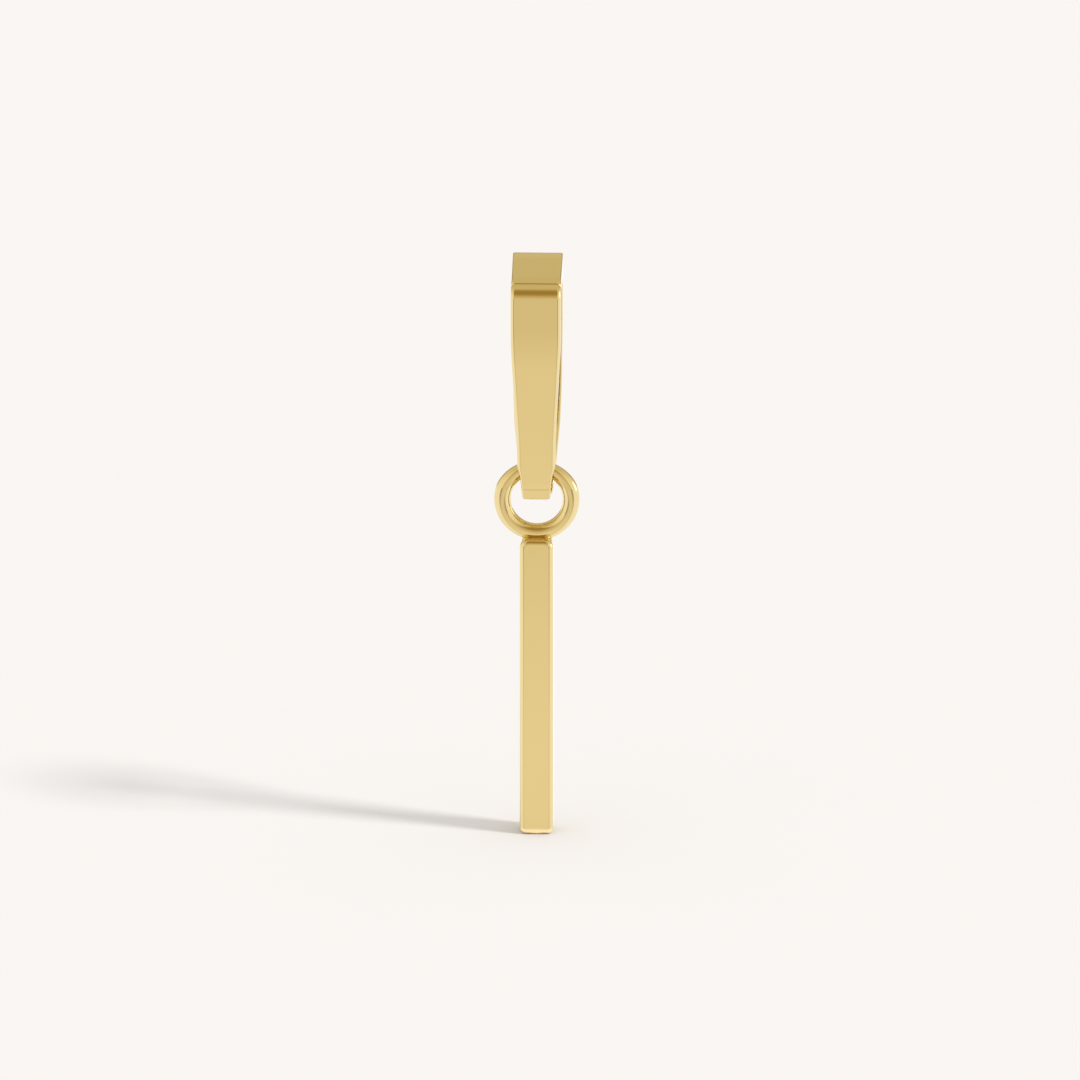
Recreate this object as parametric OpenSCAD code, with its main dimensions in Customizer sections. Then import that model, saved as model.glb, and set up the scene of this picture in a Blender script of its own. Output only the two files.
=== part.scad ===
// Letter charm: a plain bar letter under a round ring, on a tapered clip bail.
// The origin is where the chain bears, on the underside of the bail's top. +Z is up and -Y is the front.

/* [Letter] */
// Height of the bar letter
letter_h = 10; // [6:0.5:16]
// Width of its stroke, seen from the front
letter_w = 1.1; // [0.9:0.05:1.6]
// Depth of its stroke, front to back
letter_d = 1.1; // [0.9:0.05:1.6]
// Radius of its rounded edges
letter_edge_r = 0.15; // [0.05:0.01:0.3]

/* [Ring] */
// Outer diameter of the ring
ring_od = 2.8; // [2.75:0.05:3.2]
// Diameter of its round wire
ring_wire = 0.56; // [0.5:0.01:0.58]
// Depth to which the ring is soldered into the letter's top
ring_sink = 0.15; // [0.08:0.01:0.25]

/* [Bail] */
// Height of the place where the chain bears above the middle of the ring
hang_height = 7.27; // [7.2:0.01:8.5]
// Width of the bail's top
bail_w = 1.64; // [1.6:0.02:2]
// Thickness of the front and the back plate
plate_t = 0.37; // [0.34:0.01:0.42]
// Lean of both plates below their bend, in degrees
plate_lean = 8; // [7:0.5:9]
// Radius of the gentle bend between the upright and the leaning part of a plate
plate_bend_r = 10; // [6:1:12]
// Radius of the bail's round lower end
foot_r = 0.6; // [0.58:0.01:0.64]
// Thickness of the bail's top over the chain
top_t = 0.45; // [0.4:0.01:0.6]
// Slope of the bail's top, up to the back, in degrees
top_slope = 12.2; // [6:0.1:14]
// Radius of the rounding where the top meets the back
crest_r = 0.08; // [0.04:0.01:0.2]
// Radius of the opening's corners under the top
corner_r = 0.45; // [0.3:0.05:0.5]
// Radius of the gate's rounded top end
nose_r = 0.45; // [0.43:0.01:0.5]
// Seam between the gate and the hook's front end
seam = 0.05; // [0.03:0.01:0.08]

/* [Hinge] */
// Height of the hinge's axis above the middle of the ring
hinge_rise = 0.4; // [0.38:0.01:0.42]
// Diameter of the knuckles
knuckle_d = 0.5; // [0.46:0.01:0.52]
// Length of the three knuckles together
hinge_len = 0.9; // [0.8:0.02:0.92]
// Length of the middle knuckle
middle_len = 0.38; // [0.3:0.02:0.44]
// Diameter of the pin
pin_d = 0.24; // [0.2:0.01:0.26]
// Clearance round the pin, and beside and round the knuckles
hinge_clear = 0.02; // [0.02:0.01:0.03]

/* [Hidden] */
$fn = 64;

gold = "#e0c584";
gold_shade = "#cfb06c";

// Rows of the plates' front outlines: height above the middle of the ring, and half width there
HEIGHT = 0;
HALF_W = 1;
gate_outline = [
    [-0.04, 0.38],
    [0.02, 0.43],
    [0.1, 0.447],
    [0.34, 0.46],
    [0.7, 0.5],
    [0.95, 0.53],
    [1.12, 0.585],
    [1.3, 0.622],
    [2.2, 0.637],
    [5.2, 0.802],
    [5.6, 0.816],
    [6, bail_w / 2],
    [8.2, bail_w / 2],
];
hook_outline = [
    [-0.04, 0.47],
    [0.04, 0.56],
    [0.16, 0.6],
    [0.4, 0.61],
    [1.14, 0.64],
    [2.44, 0.75],
    [3.2, 0.785],
    [4, 0.803],
    [5.2, 0.815],
    [6, bail_w / 2],
    [8.2, bail_w / 2],
];

// Heights in the part's own frame
ring_z = -hang_height;
hinge_z = ring_z + hinge_rise;
letter_top_z = ring_z - ring_od / 2 + ring_sink;
letter_mid_z = letter_top_z - letter_h / 2;
ring_r = (ring_od - ring_wire) / 2;

// In the bail's side view, heights count from the middle of the ring. The bail reaches just below it.
foot_reach = 0.03;
foot_mid = foot_r - foot_reach;
foot_tangent = foot_mid - foot_r * sin(plate_lean);
bend_top = 6.12;
bend_low = bend_top - plate_bend_r * sin(plate_lean);

// Half of the bail's depth where its round lower end begins, at the bend's low end and at the top
depth_foot = foot_r * cos(plate_lean);
depth_bend = depth_foot + (bend_low - foot_tangent) * tan(plate_lean);
depth_top = depth_bend + plate_bend_r * (1 - cos(plate_lean));

// Half of the opening's depth beside the ring's wire, which swings between the plates, and at the top
wire_clear = 0.14;
inner_foot = ring_wire / 2 + wire_clear;
inner_top = depth_top - plate_t;
inner_foot_z = bend_low - (depth_bend - plate_t - inner_foot) / tan(plate_lean);

// Angles of the round lower end, from the back, at which it stops on the gate and on the hook
gate_foot_end = 258;
hook_foot_end = 302;

// Centre of the gate's rounded top end, in height
nose_mid = 7.07;

arc_steps = 12;
bend_steps = 6;
side_span = bail_w + 1;
front_span = 2 * depth_top + 1;

// Heights of the bend's points, from its top down
bend_heights = [for (i = [0 : bend_steps]) bend_top + (bend_low - bend_top) * i / bend_steps];

// Half of the bail's depth at a height in the bend
function bend_depth(z) = depth_top - plate_bend_r + sqrt(pow(plate_bend_r, 2) - pow(bend_top - z, 2));

// Height of the sloping top over a place y behind the origin
function top_surface(y) = hang_height + top_t + y * tan(top_slope);

// Points of an arc round (y, z), by angles from the back
function arc(y, z, r, from, to) =
    [for (i = [0 : arc_steps]) let (a = from + (to - from) * i / arc_steps) [y + r * cos(a), z + r * sin(a)]];

// The inside of a plate from its lower end up to the bend's top: side is 1 for the back and -1 for the front
function plate_inside(side) = concat(
    [[side * inner_foot, inner_foot_z]],
    [for (i = [bend_steps : -1 : 0]) [side * (bend_depth(bend_heights[i]) - plate_t), bend_heights[i]]]);

// A shape drawn in the side view, y and height above the ring's middle, and given a width
module side_shape(points, width) {
    translate([0, 0, ring_z])
        rotate([90, 0, 90])
            linear_extrude(height = width, center = true)
                polygon(points);
}

// A shape drawn in the front view from rows of height and half width
module front_shape(rows) {
    right = [for (row = rows) [row[HALF_W], row[HEIGHT]]];
    left = [for (i = [len(rows) - 1 : -1 : 0]) [-rows[i][HALF_W], rows[i][HEIGHT]]];
    translate([0, 0, ring_z])
        rotate([90, 0, 0])
            linear_extrude(height = front_span, center = true)
                polygon(concat(right, left));
}

module hinge_cylinder(d, length) {
    translate([0, 0, hinge_z])
        rotate([0, 90, 0])
            cylinder(d = d, h = length, center = true);
}

// The solid between the round lower end and the hinge's axis, as wide as the knuckles
module foot_block(side, foot_end) {
    reach = (inner_foot + foot_r) / 2;
    start = side > 0 ? 360 - acos(reach / foot_r) : 180 + acos(reach / foot_r);
    side_shape(concat(
        [[0, hinge_rise], [side * reach, hinge_rise]],
        arc(0, foot_mid, foot_r, start, foot_end)), hinge_len);
}

module rounded_rectangle(width, height, r) {
    square([width - 2 * r, height], center = true);
    square([width, height - 2 * r], center = true);
    for (x = [-1, 1], y = [-1, 1])
        translate([x * (width / 2 - r), y * (height / 2 - r)])
            circle(r);
}

module gate_plate() {
    nose = arc(nose_r - depth_top, nose_mid, nose_r, acos((plate_t - nose_r) / nose_r), 180);
    bend = [for (z = bend_heights) [-bend_depth(z), z]];
    foot = arc(0, foot_mid, foot_r, 180 + plate_lean, 180 + acos(inner_foot / foot_r));
    side_shape(concat(nose, bend, foot, plate_inside(-1)), side_span);
}

module hook_plate() {
    nose_y = seam - inner_top;
    nose = [[nose_y, top_surface(nose_y)]];
    crest_y = depth_top - crest_r;
    crest = arc(crest_y, top_surface(crest_y) - crest_r / cos(top_slope), crest_r, 90 + top_slope, 0);
    bend = [for (z = bend_heights) [bend_depth(z), z]];
    foot = arc(0, foot_mid, foot_r, 360 - plate_lean, 360 - acos(inner_foot / foot_r));
    corner_z = hang_height - corner_r;
    back_corner = arc(inner_top - corner_r, corner_z, corner_r, 0, 90);
    front_corner = arc(corner_r - inner_top, corner_z, corner_r, 90, acos((seam - corner_r) / corner_r));
    side_shape(concat(nose, crest, bend, foot, plate_inside(1), back_corner, front_corner), side_span);
}

// Front plate with its rounded top end and the two outer knuckles
module bail_gate() {
    color(gold)
        difference() {
            union() {
                intersection() {
                    union() {
                        gate_plate();
                        foot_block(-1, gate_foot_end);
                    }
                    front_shape(gate_outline);
                }
                hinge_cylinder(knuckle_d, hinge_len);
            }
            hinge_cylinder(knuckle_d + 2 * hinge_clear, middle_len + 2 * hinge_clear);
            hinge_cylinder(pin_d + 2 * hinge_clear, side_span);
        }
}

// Back plate, sloping top and middle knuckle
module bail_hook() {
    outer_len = side_span / 2 - middle_len / 2;
    color(gold_shade)
        difference() {
            union() {
                intersection() {
                    union() {
                        hook_plate();
                        foot_block(1, hook_foot_end);
                    }
                    front_shape(hook_outline);
                }
                hinge_cylinder(knuckle_d, middle_len);
            }
            for (side = [-1, 1])
                translate([side * (middle_len + outer_len) / 2, 0, 0])
                    hinge_cylinder(knuckle_d + 2 * hinge_clear, outer_len);
            hinge_cylinder(pin_d + 2 * hinge_clear, side_span);
        }
}

module hinge_pin() {
    color(gold_shade) hinge_cylinder(pin_d, hinge_len);
}

// Bar letter, with its edges rounded all round
module letter_bar() {
    translate([0, 0, letter_mid_z])
        intersection() {
            linear_extrude(height = letter_h, center = true)
                rounded_rectangle(letter_w, letter_d, letter_edge_r);
            rotate([90, 0, 0])
                linear_extrude(height = letter_d, center = true)
                    rounded_rectangle(letter_w, letter_h, letter_edge_r);
            rotate([90, 0, 90])
                linear_extrude(height = letter_w, center = true)
                    rounded_rectangle(letter_d, letter_h, letter_edge_r);
        }
}

module ring() {
    translate([0, 0, ring_z])
        rotate([90, 0, 0])
            rotate_extrude()
                translate([ring_r, 0])
                    circle(d = ring_wire);
}

// Ring and letter, soldered into one
module letter_drop() {
    color(gold)
        union() {
            ring();
            letter_bar();
        }
}

bail_hook();
bail_gate();
hinge_pin();
letter_drop();
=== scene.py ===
"""Polished gold letter charm, laid out as an add-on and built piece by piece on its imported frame."""

import math

import bmesh
import bpy
from bpy.props import FloatProperty, FloatVectorProperty, IntProperty, PointerProperty
from bpy.types import Operator, Panel, PropertyGroup
from mathutils import Matrix, Vector


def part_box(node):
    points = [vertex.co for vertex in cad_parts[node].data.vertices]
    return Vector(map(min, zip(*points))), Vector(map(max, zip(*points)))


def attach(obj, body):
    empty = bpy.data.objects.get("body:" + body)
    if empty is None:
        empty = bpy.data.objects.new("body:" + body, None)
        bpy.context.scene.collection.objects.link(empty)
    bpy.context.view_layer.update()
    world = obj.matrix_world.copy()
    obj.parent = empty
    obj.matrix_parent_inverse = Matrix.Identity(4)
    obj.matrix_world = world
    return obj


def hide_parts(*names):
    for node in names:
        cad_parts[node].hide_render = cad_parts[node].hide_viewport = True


bl_info = {
    "name": "Letter charm",
    "version": (1, 0, 0),
    "blender": (4, 5, 0),
    "location": "3D View > Sidebar > Charm",
    "description": "A plain bar letter under a round ring, on a clip bail whose front plate opens",
    "category": "Add Mesh",
}

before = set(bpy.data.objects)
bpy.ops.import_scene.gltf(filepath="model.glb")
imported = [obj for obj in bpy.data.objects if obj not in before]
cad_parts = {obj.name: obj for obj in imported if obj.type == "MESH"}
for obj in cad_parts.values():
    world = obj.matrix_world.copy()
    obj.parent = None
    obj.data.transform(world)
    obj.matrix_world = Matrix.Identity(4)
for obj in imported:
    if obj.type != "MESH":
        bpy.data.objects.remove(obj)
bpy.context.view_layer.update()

MM = 0.001
FLOOR_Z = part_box("letter_drop")[0].z
BAIL_TOP_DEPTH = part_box("bail_hook")[1].y

# Half widths of the plates seen from the front, by height above the middle of the ring, in millimetres
GATE_WIDTHS = ((0.125, 0.423), (0.23, 0.453), (0.35, 0.46), (0.7, 0.5), (0.85, 0.516), (0.95, 0.533),
               (1.04, 0.557), (1.12, 0.584), (1.2, 0.606), (1.28, 0.618), (1.4, 0.6245), (2.2, 0.637),
               (3.7, 0.722), (5.2, 0.802), (5.6, 0.816), (6.0, 0.82))
HOOK_WIDTHS = ((0.13, 0.5), (0.3, 0.53), (0.75, 0.585), (1.14, 0.632), (2.44, 0.75), (3.2, 0.785),
               (4.0, 0.803), (5.2, 0.815), (6.0, 0.82))
# The front plate's side rims grow from half their width at the first height to all of it at the second
RIM_LEAST = 0.95
RIM_FULL = 1.35
# The fine line pressed over the foot: heights of its top, its deepest place and its low end, its depth,
# half of the width in which the faces that it crosses have their middles, and what their edges lie in front
# of
CREASE_ROWS = (0.492, 0.474, 0.415)
CREASE_DEPTH = 0.022
CREASE_HALF_W = 0.3
CREASE_FRONT = -0.5
# No edges are rounded below this height after the rims, and none that are shorter than this
HINGE_TOP = 0.45
SHORTEST_ROUNDED = 0.035
# An edge longer than this runs across a plate, and two heights closer than this are the same
ACROSS = 0.5
SAME = 0.001
# Points closer than these are one point, in a side view and in a whole piece
SIDE_VIEW_MERGE = 0.004
PIECE_MERGE = 1e-4
# What a face's normal has at least along X on the side of a plate, and to the front where the crease
# crosses it
SIDE_NORMAL = 0.7
FRONT_NORMAL = 0.9
# Edges that turn more than this are sharp, and a rim's points lie within this many times its radius
SHARP_TURN = math.radians(60)
RIM_WITHIN = 1.1

# The bail's side view, in millimetres and degrees. Depths count from the middle to the back, heights from
# the middle of the ring and angles from the back over the top. A reach is how far a rounding goes along the
# sides of its corner. An arc is the angle of its middle and half of its turn. The round foot sinks a little
# below the ring's middle.
FOOT_SINK = 0.03
HOOK_FOOT_END = 302
HOOK_FOOT_ARC = (327, 25)
HOOK_FOOT_END_REACH = 0.06
HOOK_BORE_ARC = (-23.5, 23.5)
GATE_FOOT_END = 258
GATE_BORE_ARC = (216.65, 36.65)
# The front plate's foot: where its flat begins under the leaning outside and where its lip begins, and the
# direction in which each of them faces
GATE_FLAT = (-0.592, 0.47)
GATE_FLAT_FACES = 194
GATE_LIP = (-0.504, 0.12)
GATE_LIP_REACH = 0.064
GATE_LIP_FACES = 250.2
# Where the leaning outside of a plate begins, over the round foot
LEAN_DEPTH = 0.594
LEAN_HEIGHT = 0.4865
# Inside of both plates beside the ring's wire, which is upright up to its bend
INNER_DEPTH = 0.42
INNER_BEND = 1.88
INNER_BEND_REACH = 0.12
# The top: its faint crown over the straight slope, the crest at the back, and the opening's corners under
# it
CROWN_DEPTH = 0.15
CROWN_RISE = 0.012
CROWN_REACH = 0.7
CREST_REACH = 0.085
BACK_CORNER_REACH = 0.45
FRONT_CORNER_DEPTH = -0.7417
FRONT_CORNER_REACH = 0.2741
FRONT_CORNER_LOW = 7.026
# The top's side rims grow from the back edge radius to the outer one: distances to the front, and heights
# over the opening
TOP_RIM_DEPTHS = (-0.9, 0.8)
TOP_RIM_HEIGHTS = (-0.05, 0.15)
# The chamfer beside the seam lies over this height above the opening
CHAMFER_LOW = 0.1
# The front plate's rounded top end: heights of its inner and its outer corner, reach of its rounding, and
# its low end
NOSE_INNER = 7.513
NOSE_OUTER = 7.446
NOSE_REACH = 0.374
NOSE_LOW = 7.0
# The front plate's foot lies under this height
FOOT_TOP = 0.5
# Faces on the front plate's outside: the most that they turn to the back at its top end and under it, the
# most that they turn up, and how far their middles may lie within the round of the foot and within the
# plate
NOSE_MOST_BACK = 0.3
PLATE_MOST_BACK = 0.25
PLATE_MOST_UP = 0.5
WITHIN_FOOT = 0.03
WITHIN_PLATE = 0.1
# Blocks that join the knuckles to the plates: how far they stay inside the knuckles' ends, and the depth
# and the height from the hinge's axis of two opposite corners
WEB_INSET = 0.02
HOOK_WEB = ((0.1, -0.2), (0.36, -0.01))
GATE_WEB = ((-0.36, -0.24), (-0.08, -0.01))
KNUCKLE_RIM = 0.02
PIN_RIM = 0.03
# How far each end of the pin stands out of its knuckle
PIN_PROUD = 0.01
# What the ring's wire loses on its outside towards its hidden top, and the sine of the height at which that
# begins
RING_SLIM = 0.1
RING_SLIM_FROM = 0.35

# Segments of the roundings, and of the round wire and its ring
BEND_SEGMENTS = 14
RIM_SEGMENTS = 7
INNER_SEGMENTS = 3
ROD_SEGMENTS = 40
WIRE_SEGMENTS = 40
RING_SEGMENTS = 128
LETTER_CORNER_SEGMENTS = 10
LETTER_EDGE_SEGMENTS = 8

# The gold's patterns in repeats to a metre, the way in which the polishing lines are drawn out, the part of
# their pattern that shows, and the strength and the depth of the relief
CLOUD_SCALE = 420
RIPPLE_SCALE = 900
LINE_SCALE = 26000
LINES_UP = (1, 1, 0.05)
LINE_SHARES = (0.35, 0.75)
RIPPLE_RELIEF = (0.25, 0.004 * MM)
LINE_RELIEF = (0.2, 0.0004 * MM)

# Painted reflection, seen only in the gold: how bright the gold sees the floor, by the azimuth from the
# front as (1 - cos) / 2, near the charm, and far away, where painted dark bands stand in for dark flags
# beside the camera. The first gives way to the second between two distances from the origin.
PAINTED_NEAR_REFLECTION = ((0.0, (1.07, 1.07, 1.11)), (0.02, (1.06, 1.07, 1.11)), (0.05, (1.0, 1.0, 1.02)),
              (0.13, (1.1, 1.14, 1.28)), (0.3, (1.17, 1.25, 1.5)))
PAINTED_FAR_REFLECTION = ((0.0, (0.86, 0.84, 0.78)), (0.03, (0.86, 0.84, 0.78)), (0.055, (0.45, 0.40, 0.33)),
             (0.09, (0.47, 0.42, 0.35)), (0.15, (1.12, 1.17, 1.38)), (1.0, (1.15, 1.22, 1.45)))
NEAR_TO_FAR = (6 * MM, 60 * MM)
# Painted glow on the floor at the letter's foot, in place of the light that the polished letter throws back
# there, seen only in the gold: mirrored in the gold, and in its lowest edge
PAINTED_MIRRORED_GLOW = (1.58, 1.68, 2.35)
PAINTED_LOWEST_GLOW = (4.2, 4.2, 6.0)
# Each is gone at its first distance from the middle of the letter and full within its second, and so by
# azimuth
GLOW_FADE = (1.5 * MM, 0.5 * MM)
LOWEST_FADE = (0.58 * MM, 0.38 * MM)
GLOW_SIDES = (0.45, 0.25)

# The studio over the horizon as the gold mirrors it, by the sine of the height
FRONT_COLOURS = ((0.0, (0.77, 0.68, 0.52)), (0.14, (0.75, 0.65, 0.46)), (0.28, (0.68, 0.56, 0.37)),
                 (0.44, (0.56, 0.44, 0.24)), (0.6, (0.42, 0.29, 0.12)), (0.87, (0.41, 0.28, 0.11)),
                 (0.95, (0.54, 0.44, 0.24)), (0.985, (0.66, 0.58, 0.38)), (1.0, (0.72, 0.65, 0.47)))
SIDE_COLOURS = ((0.0, (1.08, 1.08, 1.1)), (0.4, (1.0, 0.97, 0.93)), (0.75, (0.74, 0.68, 0.55)),
                (1.0, (0.72, 0.65, 0.47)))
SOFTBOX_SIDES = ((0.44, (0, 0, 0)), (0.5, (1, 1, 1)), (0.63, (1, 1, 1)), (0.67, (0, 0, 0)))
# Azimuths at which the sides give way to the front and to the back. The softbox ends at the first height
# and is full under the second, and it begins beside the front.
FRONT_FADE = (0.10, 0.05)
BACK_FADE = (0.65, 0.9)
SOFTBOX_HEIGHTS = (0.4, 0.3)
SOFTBOX_RIGHT = (0.0, 0.1)
BACK_COLOURS = ((0.0, (0.55, 0.50, 0.42)), (0.35, (0.50, 0.42, 0.30)), (0.55, (0.76, 0.70, 0.56)),
                (0.68, (0.70, 0.63, 0.47)), (1.0, (0.72, 0.65, 0.47)))

# Camera, in millimetres of its sensor and in metres
SENSOR_WIDTH = 36
CLIP_START = 10 * MM
CLIP_END = 20
KEY_DISTANCE = 0.3


class BailSizes(PropertyGroup):
    """The clip bail: back plate with its sloping top, and the front plate that opens."""

    hang_height: FloatProperty(
        name="Hang height",
        description="Height of the place where the chain bears above the middle of the ring",
        default=7.27 * MM, unit="LENGTH", subtype="DISTANCE")
    plate_t: FloatProperty(
        name="Plate thickness", description="Thickness of the front and the back plate",
        default=0.37 * MM, unit="LENGTH", subtype="DISTANCE")
    lean: FloatProperty(
        name="Lean", description="Lean of both plates below their bend",
        default=math.radians(8), unit="ROTATION", subtype="ANGLE")
    bend_height: FloatProperty(
        name="Bend height",
        description="Height of the middle of the plates' bend above the middle of the ring",
        default=5.4207 * MM, unit="LENGTH", subtype="DISTANCE")
    bend_reach: FloatProperty(
        name="Bend reach", description="Reach of the gentle bend, up and down from its middle",
        default=0.699 * MM, unit="LENGTH", subtype="DISTANCE")
    top_t: FloatProperty(
        name="Top thickness", description="Thickness of the top over the chain",
        default=0.45 * MM, unit="LENGTH", subtype="DISTANCE")
    top_slope: FloatProperty(
        name="Top slope", description="Slope of the top, up to the back",
        default=math.radians(12.2), unit="ROTATION", subtype="ANGLE")
    foot_r: FloatProperty(
        name="Foot radius", description="Radius of the round lower end",
        default=0.6 * MM, unit="LENGTH", subtype="DISTANCE")
    seam: FloatProperty(
        name="Seam", description="Seam between the front plate and the hook's front end",
        default=0.05 * MM, unit="LENGTH", subtype="DISTANCE")
    edge_r: FloatProperty(
        name="Outer edge radius", description="Radius of the long edges on the outside of the plates",
        default=0.14 * MM, unit="LENGTH", subtype="DISTANCE")
    back_edge_r: FloatProperty(
        name="Back edge radius", description="Radius of the long edges of the back plate",
        default=0.06 * MM, unit="LENGTH", subtype="DISTANCE")
    chamfer: FloatProperty(
        name="Seam chamfer", description="Chamfer of the top's front edge, at the seam",
        default=0.08 * MM, unit="LENGTH", subtype="DISTANCE")
    inner_edge_r: FloatProperty(
        name="Inner edge radius", description="Radius of the edges inside the bail",
        default=0.03 * MM, unit="LENGTH", subtype="DISTANCE")


class HingeSizes(PropertyGroup):
    """The hinge at the foot of the bail."""

    rise: FloatProperty(
        name="Rise", description="Height of the hinge's axis above the middle of the ring",
        default=0.4 * MM, unit="LENGTH", subtype="DISTANCE")
    knuckle_r: FloatProperty(
        name="Knuckle radius", description="Radius of the three knuckles",
        default=0.25 * MM, unit="LENGTH", subtype="DISTANCE")
    length: FloatProperty(
        name="Length", description="Length of the three knuckles together",
        default=0.9 * MM, unit="LENGTH", subtype="DISTANCE")
    middle_length: FloatProperty(
        name="Middle knuckle", description="Length of the middle knuckle",
        default=0.38 * MM, unit="LENGTH", subtype="DISTANCE")
    clearance: FloatProperty(
        name="Clearance", description="Clearance beside and round the knuckles",
        default=0.02 * MM, unit="LENGTH", subtype="DISTANCE")
    pin_r: FloatProperty(
        name="Pin radius", description="Radius of the hinge pin",
        default=0.12 * MM, unit="LENGTH", subtype="DISTANCE")


class DropSizes(PropertyGroup):
    """The ring and the bar letter soldered under it."""

    ring_r: FloatProperty(
        name="Ring radius", description="Radius of the ring's centreline",
        default=1.12 * MM, unit="LENGTH", subtype="DISTANCE")
    wire_r: FloatProperty(
        name="Wire radius", description="Radius of the ring's round wire",
        default=0.28 * MM, unit="LENGTH", subtype="DISTANCE")
    letter_w: FloatProperty(
        name="Letter width", description="Width of the bar letter's stroke",
        default=1.1 * MM, unit="LENGTH", subtype="DISTANCE")
    letter_d: FloatProperty(
        name="Letter depth", description="Depth of the bar letter's stroke",
        default=1.1 * MM, unit="LENGTH", subtype="DISTANCE")
    letter_h: FloatProperty(
        name="Letter height", description="Height of the bar letter",
        default=10 * MM, unit="LENGTH", subtype="DISTANCE")
    letter_edge_r: FloatProperty(
        name="Letter edge radius", description="Radius of the letter's rounded edges",
        default=0.18 * MM, unit="LENGTH", subtype="DISTANCE")
    letter_corner_r: FloatProperty(
        name="Letter corner radius",
        description="Radius of the letter's two lower corners, seen from the front",
        default=0.22 * MM, unit="LENGTH", subtype="DISTANCE")
    letter_top_corner_r: FloatProperty(
        name="Letter top corner radius",
        description="Radius of the letter's two upper corners, seen from the front",
        default=0.3 * MM, unit="LENGTH", subtype="DISTANCE")


class GoldFinish(PropertyGroup):
    """The polished yellow gold."""

    colour: FloatVectorProperty(
        name="Gold", description="Colour of the polished gold", subtype="COLOR", size=3, min=0, max=1,
        default=(0.805, 0.645, 0.29))
    warm_colour: FloatVectorProperty(
        name="Warm gold", description="Colour of the gold in its slightly warmer patches", subtype="COLOR",
        size=3, min=0, max=1, default=(0.79, 0.63, 0.275))
    roughness: FloatProperty(
        name="Roughness", description="Roughness where the polish is best", default=0.07, min=0, max=1,
        subtype="FACTOR")
    wear: FloatProperty(
        name="Wear", description="Roughness added where fine polishing lines show", default=0.07,
        min=0, max=1, subtype="FACTOR")


class StageSettings(PropertyGroup):
    """Floor, light and camera."""

    floor_colour: FloatVectorProperty(
        name="Floor", description="Colour of the pale floor", subtype="COLOR", size=3, min=0, max=1,
        default=(0.727, 0.708, 0.693))
    fill_colour: FloatVectorProperty(
        name="Fill light", description="Colour of the soft light that reaches the floor from all round",
        subtype="COLOR", size=3, min=0, max=1, default=(0.95, 0.935, 0.925))
    key_colour: FloatVectorProperty(
        name="Key colour", description="Colour of the light from the right", subtype="COLOR", size=3,
        min=0, max=1, default=(1.0, 1.0, 1.0))
    key_strength: FloatProperty(
        name="Key light", description="Strength of the light from the right", default=1.5, min=0)
    key_azimuth: FloatProperty(
        name="Key azimuth", description="Direction of the key light, turned to the right from the front",
        default=math.radians(71), unit="ROTATION", subtype="ANGLE")
    key_elevation: FloatProperty(
        name="Key elevation", description="Height of the key light over the horizon",
        default=math.radians(50), unit="ROTATION", subtype="ANGLE")
    key_size: FloatProperty(
        name="Key size", description="Angular size of the key light, which softens the shadow",
        default=math.radians(9), unit="ROTATION", subtype="ANGLE")
    softbox_strength: FloatProperty(
        name="Softbox", description="Brightness of the softbox at the right, as the gold mirrors it",
        default=3.5, min=0)
    camera_elevation: FloatProperty(
        name="Camera elevation", description="Height of the camera over the horizon",
        default=math.radians(16), unit="ROTATION", subtype="ANGLE")
    camera_azimuth: FloatProperty(
        name="Camera azimuth", description="Turn of the camera to the right of the front",
        default=math.radians(1.8), unit="ROTATION", subtype="ANGLE")
    camera_distance: FloatProperty(
        name="Camera distance", description="Distance of the camera from what it looks at",
        default=1500 * MM, unit="LENGTH", subtype="DISTANCE")
    view_width: FloatProperty(
        name="View width", description="Width of the view at the charm",
        default=35.2 * MM, unit="LENGTH", subtype="DISTANCE")
    view_x: FloatProperty(
        name="View side", description="Place of the view's middle to the right of the charm",
        default=0.105 * MM, unit="LENGTH", subtype="DISTANCE")
    view_z: FloatProperty(
        name="View height", description="Height of the view's middle",
        default=-8.67 * MM, unit="LENGTH", subtype="DISTANCE")
    floor_size: IntProperty(
        name="Floor size", description="Width of the floor, in metres", default=6, min=1)


class CharmSettings(PropertyGroup):
    """All that a user may change."""

    bail: PointerProperty(type=BailSizes)
    hinge: PointerProperty(type=HingeSizes)
    drop: PointerProperty(type=DropSizes)
    gold: PointerProperty(type=GoldFinish)
    stage: PointerProperty(type=StageSettings)


# Shaping

def once(parts):
    """The parts in their order, each only once."""
    return list(dict.fromkeys(parts))


def cut_level(bm, parts, height):
    bmesh.ops.bisect_plane(bm, geom=parts, dist=1e-5, plane_co=(0, 0, height), plane_no=(0, 0, 1))


def round_corner(bm, vert, reach, segments):
    """Rounds one corner of a flat face, from reach before it to reach after it."""
    bmesh.ops.bevel(bm, geom=[vert], offset=reach, offset_type="OFFSET", segments=segments, profile=0.5,
                    affect="VERTICES", clamp_overlap=False, material=-1)


def round_edges(bm, edges, radius, segments):
    bmesh.ops.bevel(bm, geom=edges, offset=radius, offset_type="OFFSET", segments=segments, profile=0.5,
                    affect="EDGES", clamp_overlap=False, loop_slide=True, material=-1)


def side_shape(corners):
    """Draws a side view from corners of (y, height, reach of rounding, segments), and makes it 2 wide."""
    bm = bmesh.new()
    verts = [bm.verts.new((-1, y, height)) for y, height, _, _ in corners]
    bm.faces.new(verts)
    for vert, (_, _, reach, segments) in zip(verts, corners):
        if reach:
            round_corner(bm, vert, reach, segments)
    bmesh.ops.remove_doubles(bm, verts=bm.verts[:], dist=SIDE_VIEW_MERGE)
    made = bmesh.ops.extrude_face_region(bm, geom=bm.faces[:])
    far_side = [v for v in made["geom"] if isinstance(v, bmesh.types.BMVert)]
    bmesh.ops.translate(bm, vec=(2, 0, 0), verts=far_side)
    bmesh.ops.recalc_face_normals(bm, faces=bm.faces[:])
    return bm


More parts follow.
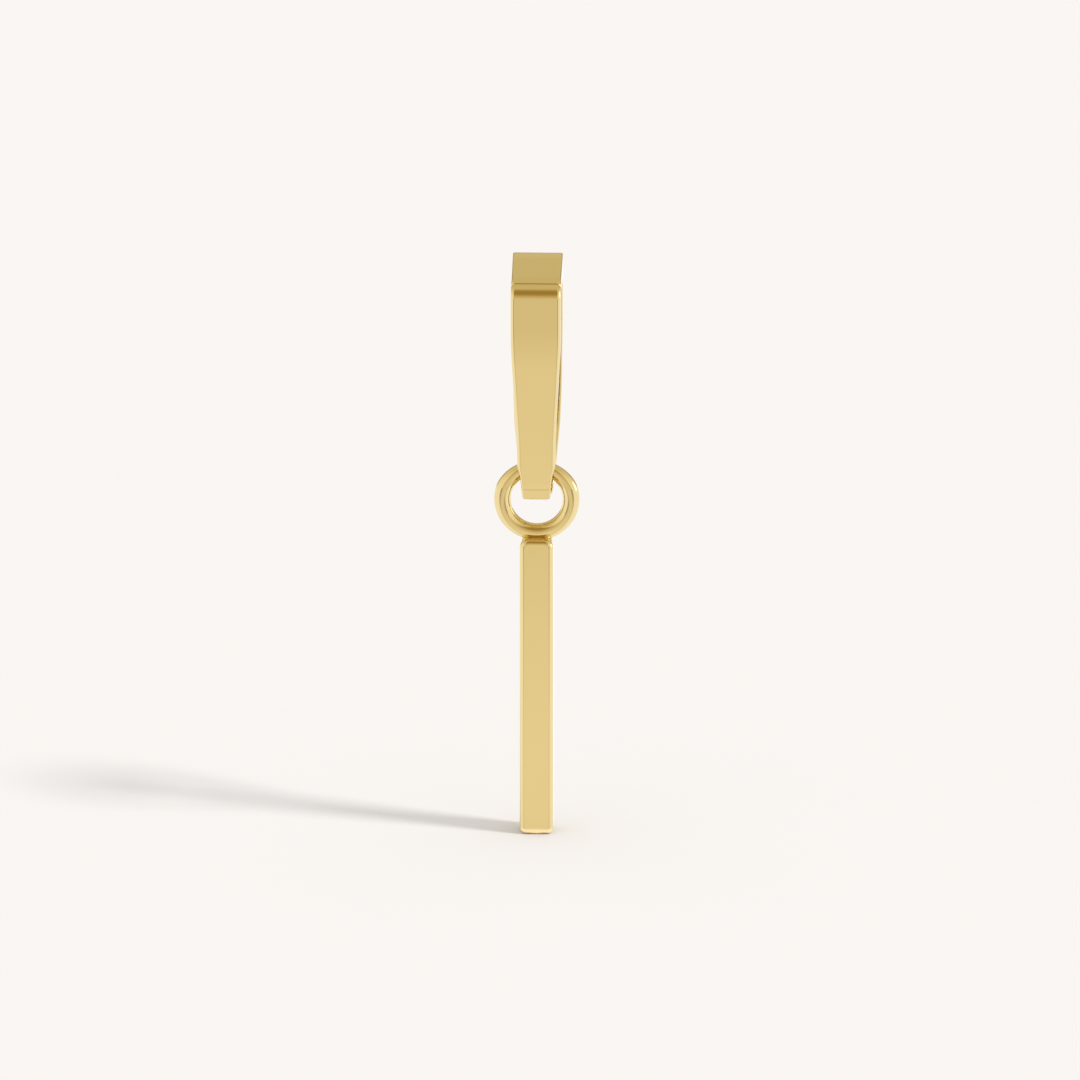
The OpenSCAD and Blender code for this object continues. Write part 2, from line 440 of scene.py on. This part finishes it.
def half_width(rows, height):
    """Half width at a height, straight between the rows."""
    if height <= rows[0][0]:
        return rows[0][1]
    for (low, narrow), (high, wide) in zip(rows, rows[1:]):
        if height <= high:
            return narrow + (wide - narrow) * (height - low) / (high - low)
    return rows[-1][1]


def taper(bm, rows):
    """Cuts the shape at each row's height and draws its sides in to the rows' half widths."""
    for height, _ in rows:
        cut_level(bm, bm.verts[:] + bm.edges[:] + bm.faces[:], height)
    for v in bm.verts:
        v.co.x *= half_width(rows, v.co.z)
    bm.normal_update()


def is_side(face):
    return abs(face.normal.x) > SIDE_NORMAL


def rim_edges(bm, is_outer):
    """Edges between a side and a face that is_outer says is on the outside."""
    found = []
    for e in bm.edges:
        if len(e.link_faces) == 2:
            a, b = e.link_faces
            if is_side(a) != is_side(b) and is_outer(b if is_side(a) else a):
                found.append(e)
    return found


def sharp_edges(bm):
    """Edges over the hinge that are still sharp, without the short ones across the end of a rounded rim."""
    bm.normal_update()
    return [e for e in bm.edges if min(v.co.z for v in e.verts) > HINGE_TOP and len(e.link_faces) == 2
            and e.calc_face_angle() > SHARP_TURN and e.calc_length() > SHORTEST_ROUNDED]


def add_rod(bm, height, x_from, x_to, radius, rim):
    """A rod along X with rounded rims."""
    place = Matrix.Translation(((x_from + x_to) / 2, 0, height)) @ Matrix.Rotation(math.pi / 2, 4, "Y")
    made = bmesh.ops.create_cone(bm, cap_ends=True, segments=ROD_SEGMENTS, radius1=radius, radius2=radius,
                                 depth=x_to - x_from, matrix=place)
    edges = once(e for v in made["verts"] for e in v.link_edges)
    round_edges(bm, [e for e in edges if any(len(f.verts) == ROD_SEGMENTS for f in e.link_faces)], rim, 3)


def add_block(bm, low, high):
    size = Vector(high) - Vector(low)
    middle = (Vector(high) + Vector(low)) / 2
    place = Matrix.Translation(middle) @ Matrix.Diagonal((*size, 1))
    bmesh.ops.create_cube(bm, size=1, matrix=place)


def add_knuckle(bm, height, x_from, x_to, radius, web):
    """A knuckle of the hinge, and the block that joins it to its plate."""
    add_rod(bm, height, x_from, x_to, radius, KNUCKLE_RIM)
    (near, low), (far, high) = web
    add_block(bm, (x_from + WEB_INSET, near, height + low), (x_to - WEB_INSET, far, height + high))


def finish_piece(bm, name, body, nodes, material, ring_z):
    """Turns a shape in millimetres, with heights from the ring's middle, into a piece in the frame."""
    bmesh.ops.remove_doubles(bm, verts=bm.verts[:], dist=PIECE_MERGE)
    bmesh.ops.recalc_face_normals(bm, faces=bm.faces[:])
    bmesh.ops.translate(bm, vec=(0, 0, ring_z), verts=bm.verts[:])
    bmesh.ops.scale(bm, vec=(MM, MM, MM), verts=bm.verts[:])
    for f in bm.faces:
        f.smooth = True
    mesh = bpy.data.meshes.new(name)
    bm.to_mesh(mesh)
    bm.free()
    piece = bpy.data.objects.new(name, mesh)
    bpy.context.scene.collection.objects.link(piece)
    mesh.materials.append(material)
    keep_flats = piece.modifiers.new("Flat faces stay flat", "WEIGHTED_NORMAL")
    keep_flats.keep_sharp = True
    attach(piece, body)
    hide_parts(*nodes)
    return piece


# Gold

def polished_gold(name):
    """Polished gold with faint polishing lines that run up and down."""
    found = bpy.data.materials.get(name)
    if found:
        return found
    finish = bpy.context.scene.letter_charm.gold
    material = bpy.data.materials.new(name)
    material.use_nodes = True
    nodes, links = material.node_tree.nodes, material.node_tree.links
    shader = nodes["Principled BSDF"]
    shader.inputs["Metallic"].default_value = 1.0
    coords = nodes.new("ShaderNodeTexCoord")

    def noise(scale, detail, squeeze=(1, 1, 1)):
        mapping = nodes.new("ShaderNodeMapping")
        mapping.inputs["Scale"].default_value = squeeze
        links.new(coords.outputs["Object"], mapping.inputs["Vector"])
        texture = nodes.new("ShaderNodeTexNoise")
        texture.inputs["Scale"].default_value = scale
        texture.inputs["Detail"].default_value = detail
        links.new(mapping.outputs["Vector"], texture.inputs["Vector"])
        return texture.outputs["Fac"]

    def relief(pattern, strength, depth):
        bump = nodes.new("ShaderNodeBump")
        bump.inputs["Strength"].default_value = strength
        bump.inputs["Distance"].default_value = depth
        links.new(pattern, bump.inputs["Height"])
        return bump

    tint = nodes.new("ShaderNodeMix")
    tint.data_type = "RGBA"
    tint.inputs["A"].default_value = (*finish.colour, 1)
    tint.inputs["B"].default_value = (*finish.warm_colour, 1)
    links.new(noise(CLOUD_SCALE, 2), tint.inputs["Factor"])
    links.new(tint.outputs["Result"], shader.inputs["Base Color"])

    lines = noise(LINE_SCALE, 3, LINES_UP)
    rough = nodes.new("ShaderNodeMapRange")
    rough.inputs["From Min"].default_value, rough.inputs["From Max"].default_value = LINE_SHARES
    rough.inputs["To Min"].default_value = finish.roughness
    rough.inputs["To Max"].default_value = finish.roughness + finish.wear
    links.new(lines, rough.inputs["Value"])
    links.new(rough.outputs["Result"], shader.inputs["Roughness"])

    ripples = relief(noise(RIPPLE_SCALE, 1), *RIPPLE_RELIEF)
    fine_lines = relief(lines, *LINE_RELIEF)
    links.new(ripples.outputs["Normal"], fine_lines.inputs["Normal"])
    links.new(fine_lines.outputs["Normal"], shader.inputs["Normal"])
    return material


# Pieces

def in_mm(group, *names):
    return [getattr(group, n) / MM for n in names]


def on_circle(middle, radius, degrees):
    y, height = middle
    return y + radius * math.cos(math.radians(degrees)), height + radius * math.sin(math.radians(degrees))


def arc_corner(middle, radius, degrees, half_turn, segments, slack=0):
    """Corner of a side view whose rounding follows a circle, less a little slack beside the next corner."""
    reach = radius * math.tan(math.radians(half_turn - slack))
    return *on_circle(middle, radius / math.cos(math.radians(half_turn)), degrees), reach, segments


def foot_points(foot_r, degrees, rise, bore_r):
    """Middle and end of a plate's round foot, and where a line from its end to the axis meets the bore."""
    middle = (0, foot_r - FOOT_SINK)
    end = on_circle(middle, foot_r, degrees)
    return middle, end, on_circle((0, rise), bore_r, math.degrees(math.atan2(end[1] - rise, end[0])))


def plate_depth(height, outer, lean):
    """Distance of a plate's outside from the middle of the bail, at a height over its round foot."""
    return min(outer, LEAN_DEPTH + (height - LEAN_HEIGHT) * math.tan(lean))


def press_crease(bm):
    """Presses the fine line over the foot of the front plate, steep at its top and shallow below."""
    for height in CREASE_ROWS:
        faces = [f for f in bm.faces
                 if f.normal.y < -FRONT_NORMAL and abs(f.calc_center_median().x) < CREASE_HALF_W]
        cut_level(bm, once(part for f in faces for part in (*f.verts, *f.edges, f)), height)
    top, deepest, low = CREASE_ROWS
    for e in bm.edges:
        heights = [v.co.z for v in e.verts]
        on_line = low - SAME < min(heights) and max(heights) < top + SAME
        if on_line and e.calc_length() > ACROSS and e.verts[0].co.y < CREASE_FRONT:
            e.smooth = False
            if abs(heights[0] - deepest) < SAME:
                bmesh.ops.translate(bm, vec=(0, CREASE_DEPTH, 0), verts=list(e.verts))


def outside_plane(y, height, degrees):
    """Plane on the outside in the side view, through a point and facing as its angle from the back says."""
    return Vector((y, height)), Vector((math.cos(math.radians(degrees)), math.sin(math.radians(degrees))))


def draw_rims(bm, rows, planes, rim, share_at):
    """Makes the rounded side rims wider or narrower by the share that share_at gives for a place."""
    within = rim * RIM_WITHIN
    for v in bm.verts:
        place = v.co.yz
        point, outward = min(planes, key=lambda plane: (plane[0] - place).dot(plane[1]))
        depth = (point - place).dot(outward)
        across = half_width(rows, v.co.z) - abs(v.co.x)
        if depth < within and across < within:
            share = share_at(v.co)
            v.co.x = math.copysign(abs(v.co.x) + across * (1 - share), v.co.x)
            v.co.yz = place + outward * depth * (1 - share)


def climb(value, low, high):
    """0 up to low, 1 from high on, and straight between them."""
    return min(1, max(0, (value - low) / (high - low)))


class CHARM_OT_bail_hook(Operator):
    """Back plate of the bail, with its sloping top and the middle knuckle of the hinge"""

    bl_idname = "charm.bail_hook"
    bl_label = "Bail hook"

    def execute(self, context):
        settings = context.scene.letter_charm
        hang, plate_t, bend, reach, top_t, foot_r, seam, chamfer, edge_r, back_edge_r, inner_r = in_mm(
            settings.bail, "hang_height", "plate_t", "bend_height", "bend_reach", "top_t", "foot_r", "seam",
            "chamfer", "edge_r", "back_edge_r", "inner_edge_r")
        rise, knuckle_r, middle, clear = in_mm(
            settings.hinge, "rise", "knuckle_r", "middle_length", "clearance")
        outer = BAIL_TOP_DEPTH / MM
        inner = outer - plate_t
        slope = math.tan(settings.bail.top_slope)
        front = seam - inner
        front_top = hang + top_t + front * slope
        bore_r = knuckle_r + clear
        foot_mid, foot_end, bore_end = foot_points(foot_r, HOOK_FOOT_END, rise, bore_r)

        bm = side_shape([
            (front, front_top, chamfer, 1),
            (CROWN_DEPTH, hang + top_t + CROWN_DEPTH * slope + CROWN_RISE, CROWN_REACH, 8),
            (outer, hang + top_t + outer * slope, CREST_REACH, 5),
            (outer, bend, reach, BEND_SEGMENTS),
            arc_corner(foot_mid, foot_r, *HOOK_FOOT_ARC, 8),
            (*foot_end, HOOK_FOOT_END_REACH, 5),
            (*bore_end, 0, 0),
            arc_corner((0, rise), bore_r, *HOOK_BORE_ARC, 4, slack=0.1),
            (bore_r, rise, 0, 0),
            (INNER_DEPTH, rise, 0, 0),
            (INNER_DEPTH, INNER_BEND, INNER_BEND_REACH, 4),
            (inner, bend, reach, BEND_SEGMENTS),
            (inner, hang, BACK_CORNER_REACH, 10),
            (FRONT_CORNER_DEPTH, hang, FRONT_CORNER_REACH, 6),
            (front, FRONT_CORNER_LOW, 0, 0),
        ])
        taper(bm, HOOK_WIDTHS)
        round_edges(bm, rim_edges(bm, lambda face: True), back_edge_r, RIM_SEGMENTS)
        up_from_top = 90 + math.degrees(settings.bail.top_slope)
        planes = [outside_plane(0, hang + top_t, up_from_top), outside_plane(front, hang, 180),
                  outside_plane(front, front_top - chamfer, (up_from_top + 180) / 2)]
        most = edge_r / back_edge_r - 1
        draw_rims(bm, HOOK_WIDTHS, planes, back_edge_r, lambda place: 1 + most * climb(
            -place.y, *TOP_RIM_DEPTHS) * climb(place.z - hang, *TOP_RIM_HEIGHTS))
        round_edges(bm, sharp_edges(bm), inner_r, INNER_SEGMENTS)
        seam_end = front + chamfer * RIM_WITHIN
        for e in bm.edges:
            by_seam = all(v.co.z > hang + CHAMFER_LOW and v.co.y < seam_end for v in e.verts)
            if by_seam and e.calc_length() > ACROSS:
                e.smooth = False
        add_knuckle(bm, rise, -middle / 2, middle / 2, knuckle_r, HOOK_WEB)
        finish_piece(bm, "bail_hook_polished", "hook", ["bail_hook"],
                     polished_gold("bail gold"), -hang)
        return {"FINISHED"}


class CHARM_OT_bail_gate(Operator):
    """Tapered front plate of the bail, with its rounded top end and the two outer knuckles of the hinge"""

    bl_idname = "charm.bail_gate"
    bl_label = "Bail gate"

    def execute(self, context):
        settings = context.scene.letter_charm
        hang, plate_t, bend, reach, foot_r, edge_r, inner_r = in_mm(
            settings.bail, "hang_height", "plate_t", "bend_height", "bend_reach", "foot_r", "edge_r",
            "inner_edge_r")
        rise, knuckle_r, length, middle, clear = in_mm(
            settings.hinge, "rise", "knuckle_r", "length", "middle_length", "clearance")
        outer = -BAIL_TOP_DEPTH / MM
        inner = outer + plate_t
        bore_r = knuckle_r + clear
        foot_mid, foot_end, bore_end = foot_points(foot_r, GATE_FOOT_END, rise, bore_r)

        bm = side_shape([
            (inner, NOSE_INNER, 0, 0),
            (outer, NOSE_OUTER, NOSE_REACH, BEND_SEGMENTS),
            (outer, bend, reach, BEND_SEGMENTS),
            (*GATE_FLAT, 0, 0),
            (*GATE_LIP, GATE_LIP_REACH, 6),
            (*foot_end, 0, 0),
            (*bore_end, 0, 0),
            arc_corner((0, rise), bore_r, *GATE_BORE_ARC, 8, slack=0.25),
            (-bore_r, rise, 0, 0),
            (-INNER_DEPTH, rise, 0, 0),
            (-INNER_DEPTH, INNER_BEND, INNER_BEND_REACH, 4),
            (inner, bend, reach, BEND_SEGMENTS),
        ])
        taper(bm, GATE_WIDTHS)

        def on_outside(face):
            """Whether a face of the top end, the round foot or the plate between is on the outside."""
            n, c = face.normal, face.calc_center_median()
            if c.z > NOSE_LOW:
                return n.y < NOSE_MOST_BACK
            if c.z < FOOT_TOP:
                return math.hypot(c.y, c.z - foot_mid[1]) > foot_r - WITHIN_FOOT
            depth = plate_depth(c.z, -outer, settings.bail.lean)
            return n.y < PLATE_MOST_BACK and n.z < PLATE_MOST_UP and -c.y > depth - WITHIN_PLATE

        round_edges(bm, rim_edges(bm, on_outside), edge_r, RIM_SEGMENTS)
        lean = math.degrees(settings.bail.lean)
        planes = [outside_plane(*on_circle(foot_mid, foot_r, 180 + lean), 180 + lean),
                  outside_plane(*GATE_FLAT, GATE_FLAT_FACES), outside_plane(*GATE_LIP, GATE_LIP_FACES)]
        draw_rims(bm, GATE_WIDTHS, planes, edge_r,
                  lambda place: 0.5 + 0.5 * climb(place.z, RIM_LEAST, RIM_FULL))
        round_edges(bm, sharp_edges(bm), inner_r, INNER_SEGMENTS)
        press_crease(bm)
        for side in (-1, 1):
            ends = sorted((side * length / 2, side * (middle / 2 + clear)))
            add_knuckle(bm, rise, *ends, knuckle_r, GATE_WEB)
        finish_piece(bm, "bail_gate_polished", "gate", ["bail_gate"],
                     polished_gold("bail gold"), -hang)
        return {"FINISHED"}


class CHARM_OT_hinge_pin(Operator):
    """Pin through the knuckles of the hinge"""

    bl_idname = "charm.hinge_pin"
    bl_label = "Hinge pin"

    def execute(self, context):
        settings = context.scene.letter_charm
        hang, = in_mm(settings.bail, "hang_height")
        rise, length, pin_r = in_mm(settings.hinge, "rise", "length", "pin_r")
        bm = bmesh.new()
        end = length / 2 + PIN_PROUD
        add_rod(bm, rise, -end, end, pin_r, PIN_RIM)
        finish_piece(bm, "hinge_pin_polished", "hook", ["hinge_pin"],
                     polished_gold("bail gold"), -hang)
        return {"FINISHED"}


class CHARM_OT_letter_drop(Operator):
    """Round ring with the bar letter soldered under it"""

    bl_idname = "charm.letter_drop"
    bl_label = "Letter drop"

    def execute(self, context):
        settings = context.scene.letter_charm
        hang, = in_mm(settings.bail, "hang_height")
        ring_r, wire_r, letter_w, letter_d, letter_h, edge_r, corner_r, top_corner_r = in_mm(
            settings.drop, "ring_r", "wire_r", "letter_w", "letter_d", "letter_h", "letter_edge_r",
            "letter_corner_r", "letter_top_corner_r")
        bm = bmesh.new()
        made = bmesh.ops.create_circle(bm, cap_ends=False, segments=WIRE_SEGMENTS, radius=wire_r,
                                       matrix=Matrix.Translation((ring_r, 0, 0)))
        wire = made["verts"] + once(e for v in made["verts"] for e in v.link_edges)
        bmesh.ops.spin(bm, geom=wire, cent=(0, 0, 0), axis=(0, 1, 0), angle=2 * math.pi,
                       steps=RING_SEGMENTS, use_merge=True, use_duplicate=False)
        for v in bm.verts:
            reach = math.hypot(v.co.x, v.co.z)
            loss = RING_SLIM * climb(v.co.z / reach, RING_SLIM_FROM, 1)
            outward = (reach - ring_r + wire_r) / (2 * wire_r)
            v.co.xz *= 1 - loss * outward / reach
            v.co.y *= 1 - loss / (2 * wire_r)
        foot = FLOOR_Z / MM + hang
        ring = set(bm.edges)
        add_block(bm, (-letter_w / 2, -letter_d / 2, foot), (letter_w / 2, letter_d / 2, foot + letter_h))

        def letter_edges(is_one):
            """Edges of the letter that is_one picks, by the edge and its depth from front to back."""
            return [e for e in bm.edges
                    if e not in ring and is_one(e, abs(e.verts[0].co.y - e.verts[1].co.y))]

        middle = foot + letter_h / 2
        upper = letter_edges(lambda e, depth: depth > edge_r and e.verts[0].co.z > middle)
        lower = letter_edges(lambda e, depth: depth > edge_r and e.verts[0].co.z < middle)
        round_edges(bm, lower, corner_r, LETTER_CORNER_SEGMENTS)
        round_edges(bm, upper, top_corner_r, LETTER_CORNER_SEGMENTS)
        round_edges(bm, letter_edges(lambda e, depth: depth < edge_r), edge_r, LETTER_EDGE_SEGMENTS)
        finish_piece(bm, "letter_drop_polished", "drop", ["letter_drop"],
                     polished_gold("letter gold"), -hang)
        return {"FINISHED"}


class CHARM_OT_stage(Operator):
    """Pale floor, soft light and camera"""

    bl_idname = "charm.stage"
    bl_label = "Stage"

    def execute(self, context):
        scene = context.scene
        stage = scene.letter_charm.stage
        add_floor(scene, stage)
        add_dome(scene, stage)
        add_key(scene, stage)
        add_camera(scene, stage)
        scene.view_settings.view_transform = "Standard"
        return {"FINISHED"}


def add_floor(scene, stage):
    bm = bmesh.new()
    bmesh.ops.create_grid(bm, x_segments=1, y_segments=1, size=stage.floor_size / 2,
                          matrix=Matrix.Translation((0, 0, FLOOR_Z)))
    mesh = bpy.data.meshes.new("floor")
    bm.to_mesh(mesh)
    bm.free()
    floor = bpy.data.objects.new("floor", mesh)
    scene.collection.objects.link(floor)
    material = bpy.data.materials.new("pale floor")
    material.use_nodes = True
    tree = material.node_tree
    shader = tree.nodes["Principled BSDF"]
    shader.inputs["Roughness"].default_value = 0.9
    shader.inputs["Specular IOR Level"].default_value = 0.0
    place = tree.nodes.new("ShaderNodeTexCoord").outputs["Object"]
    azimuth = azimuth_part(tree, place)
    from_top = vector_math(tree, "LENGTH", place)
    # Painted reflection in the floor's colour, which only the gold sees: brighter at the sides, with
    # painted dark bands to the front
    mirrored = blend(tree, smooth_step(tree, from_top, *NEAR_TO_FAR), ramp(tree, azimuth, PAINTED_NEAR_REFLECTION),
                     ramp(tree, azimuth, PAINTED_FAR_REFLECTION))
    from_letter = vector_math(tree, "LENGTH", level_part(tree, place))
    # Painted glows on the floor at the letter's foot, to the front, which only the gold sees
    in_front = smooth_step(tree, azimuth, *GLOW_SIDES)
    for fade, glow in ((GLOW_FADE, PAINTED_MIRRORED_GLOW), (LOWEST_FADE, PAINTED_LOWEST_GLOW)):
        part = product(tree, smooth_step(tree, from_letter, *fade), in_front)
        mirrored = blend(tree, part, mirrored, glow)
    seen = blend(tree, mirrored_ray(tree), (1, 1, 1), mirrored)
    tree.links.new(vector_math(tree, "MULTIPLY", seen, stage.floor_colour), shader.inputs["Base Color"])
    mesh.materials.append(material)


def vector_math(tree, operation, vector, second=None):
    """A calculation with a vector and, where it takes one, a second vector of three numbers."""
    node = tree.nodes.new("ShaderNodeVectorMath")
    node.operation = operation
    tree.links.new(vector, node.inputs[0])
    if second is not None:
        node.inputs[1].default_value = second
    return node.outputs["Value" if operation == "LENGTH" else "Vector"]


def product(tree, first, second):
    node = tree.nodes.new("ShaderNodeMath")
    node.operation = "MULTIPLY"
    tree.links.new(first, node.inputs[0])
    tree.links.new(second, node.inputs[1])
    return node.outputs["Value"]


def smooth_step(tree, value, low, high):
    """Rises, or falls where high is the lower of the two, softly from 0 at low to 1 at high."""
    step = tree.nodes.new("ShaderNodeMapRange")
    step.interpolation_type = "SMOOTHSTEP"
    rising = low < high
    step.inputs["From Min"].default_value = low if rising else high
    step.inputs["From Max"].default_value = high if rising else low
    step.inputs["To Min"].default_value = 0 if rising else 1
    step.inputs["To Max"].default_value = 1 if rising else 0
    tree.links.new(value, step.inputs["Value"])
    return step.outputs["Result"]


def blend(tree, factor, first, second):
    """Mixes two colours, each a socket or three numbers."""
    mix = tree.nodes.new("ShaderNodeMix")
    mix.data_type = "RGBA"
    for name, colour in (("A", first), ("B", second)):
        socket = next(i for i in mix.inputs if i.name == name and i.type == "RGBA")
        if isinstance(colour, bpy.types.NodeSocket):
            tree.links.new(colour, socket)
        else:
            socket.default_value = (*colour, 1)
    tree.links.new(factor, mix.inputs["Factor"])
    return next(o for o in mix.outputs if o.type == "RGBA")


def ramp(tree, value, stops):
    """Colours by a value from 0 to 1."""
    node = tree.nodes.new("ShaderNodeValToRGB")
    elements = node.color_ramp.elements
    elements[0].position, elements[0].color = stops[0][0], (*stops[0][1], 1)
    elements[1].position, elements[1].color = stops[-1][0], (*stops[-1][1], 1)
    for place, colour in stops[1:-1]:
        elements.new(place).color = (*colour, 1)
    tree.links.new(value, node.inputs["Fac"])
    return node.outputs["Color"]


def mirrored_ray(tree):
    """1 for what is seen mirrored in the gold, and 0 for the light that reaches the floor."""
    rays = tree.nodes.new("ShaderNodeLightPath")
    before_floor = tree.nodes.new("ShaderNodeMath")
    before_floor.operation = "LESS_THAN"
    before_floor.inputs[1].default_value = 0.5
    tree.links.new(rays.outputs["Diffuse Depth"], before_floor.inputs[0])
    return product(tree, rays.outputs["Is Glossy Ray"], before_floor.outputs["Value"])


def level_part(tree, place):
    """The place without its height."""
    return vector_math(tree, "MULTIPLY", place, (1, 1, 0))


def azimuth_part(tree, place):
    """0 to the front, a half at the sides and 1 to the back, whatever the height and the distance."""
    axes = tree.nodes.new("ShaderNodeSeparateXYZ")
    tree.links.new(vector_math(tree, "NORMALIZE", level_part(tree, place)), axes.inputs["Vector"])
    part = tree.nodes.new("ShaderNodeMapRange")
    part.inputs["From Min"].default_value = -1
    tree.links.new(axes.outputs["Y"], part.inputs["Value"])
    return part.outputs["Result"]


def toward(azimuth, elevation):
    """Direction from the charm, with the azimuth counted to the right from the front."""
    return Vector((math.sin(azimuth) * math.cos(elevation), -math.cos(azimuth) * math.cos(elevation),
                   math.sin(elevation)))


def add_dome(scene, stage):
    """Even light for the floor, and the studio that the gold mirrors, with a softbox at the right."""
    world = bpy.data.worlds.new("soft studio")
    scene.world = world
    world.use_nodes = True
    world.cycles.sampling_method = "NONE"
    tree = world.node_tree
    coords = tree.nodes.new("ShaderNodeTexCoord")
    axes = tree.nodes.new("ShaderNodeSeparateXYZ")
    tree.links.new(coords.outputs["Generated"], axes.inputs["Vector"])
    height = axes.outputs["Z"]

    azimuth = azimuth_part(tree, coords.outputs["Generated"])
    studio = blend(tree, smooth_step(tree, azimuth, *FRONT_FADE), ramp(tree, height, SIDE_COLOURS),
                   ramp(tree, height, FRONT_COLOURS))
    studio = blend(tree, smooth_step(tree, azimuth, *BACK_FADE), studio, ramp(tree, height, BACK_COLOURS))
    right = smooth_step(tree, axes.outputs["X"], *SOFTBOX_RIGHT)
    low = smooth_step(tree, height, *SOFTBOX_HEIGHTS)
    lit = product(tree, ramp(tree, azimuth, SOFTBOX_SIDES), product(tree, right, low))
    studio = blend(tree, lit, studio, (stage.softbox_strength,) * 3)

    seen = blend(tree, mirrored_ray(tree), tuple(stage.fill_colour), studio)
    tree.links.new(seen, tree.nodes["Background"].inputs["Color"])


def add_key(scene, stage):
    light = bpy.data.lights.new("key light", "SUN")
    light.energy = stage.key_strength
    light.color = stage.key_colour
    light.angle = stage.key_size
    key = bpy.data.objects.new("key light", light)
    towards = toward(stage.key_azimuth, stage.key_elevation)
    key.rotation_euler = towards.to_track_quat("Z", "Y").to_euler()
    key.location = towards * KEY_DISTANCE
    key.visible_glossy = False
    scene.collection.objects.link(key)


def add_camera(scene, stage):
    data = bpy.data.cameras.new("camera")
    data.sensor_width = SENSOR_WIDTH
    data.lens = SENSOR_WIDTH * stage.camera_distance / stage.view_width
    data.clip_start = CLIP_START
    data.clip_end = CLIP_END
    camera = bpy.data.objects.new("camera", data)
    towards = toward(stage.camera_azimuth, stage.camera_elevation)
    camera.location = Vector((stage.view_x, 0, stage.view_z)) + towards * stage.camera_distance
    camera.rotation_euler = towards.to_track_quat("Z", "Y").to_euler()
    scene.collection.objects.link(camera)
    scene.camera = camera


class CHARM_PT_panel(Panel):
    """Lists what can be built"""

    bl_idname = "CHARM_PT_panel"
    bl_label = "Letter charm"
    bl_space_type = "VIEW_3D"
    bl_region_type = "UI"
    bl_category = "Charm"

    def draw(self, context):
        for operator in OPERATORS:
            self.layout.operator(operator.bl_idname)


OPERATORS = (CHARM_OT_bail_hook, CHARM_OT_bail_gate, CHARM_OT_hinge_pin, CHARM_OT_letter_drop,
             CHARM_OT_stage)
CLASSES = (BailSizes, HingeSizes, DropSizes, GoldFinish, StageSettings, CharmSettings, *OPERATORS,
           CHARM_PT_panel)


def register():
    for cls in CLASSES:
        bpy.utils.register_class(cls)
    bpy.types.Scene.letter_charm = PointerProperty(type=CharmSettings)


def unregister():
    del bpy.types.Scene.letter_charm
    for cls in reversed(CLASSES):
        bpy.utils.unregister_class(cls)


def main():
    register()
    bpy.ops.charm.bail_hook()
    bpy.ops.charm.bail_gate()
    bpy.ops.charm.hinge_pin()
    bpy.ops.charm.letter_drop()
    bpy.ops.charm.stage()


if __name__ == "__main__":
    main()
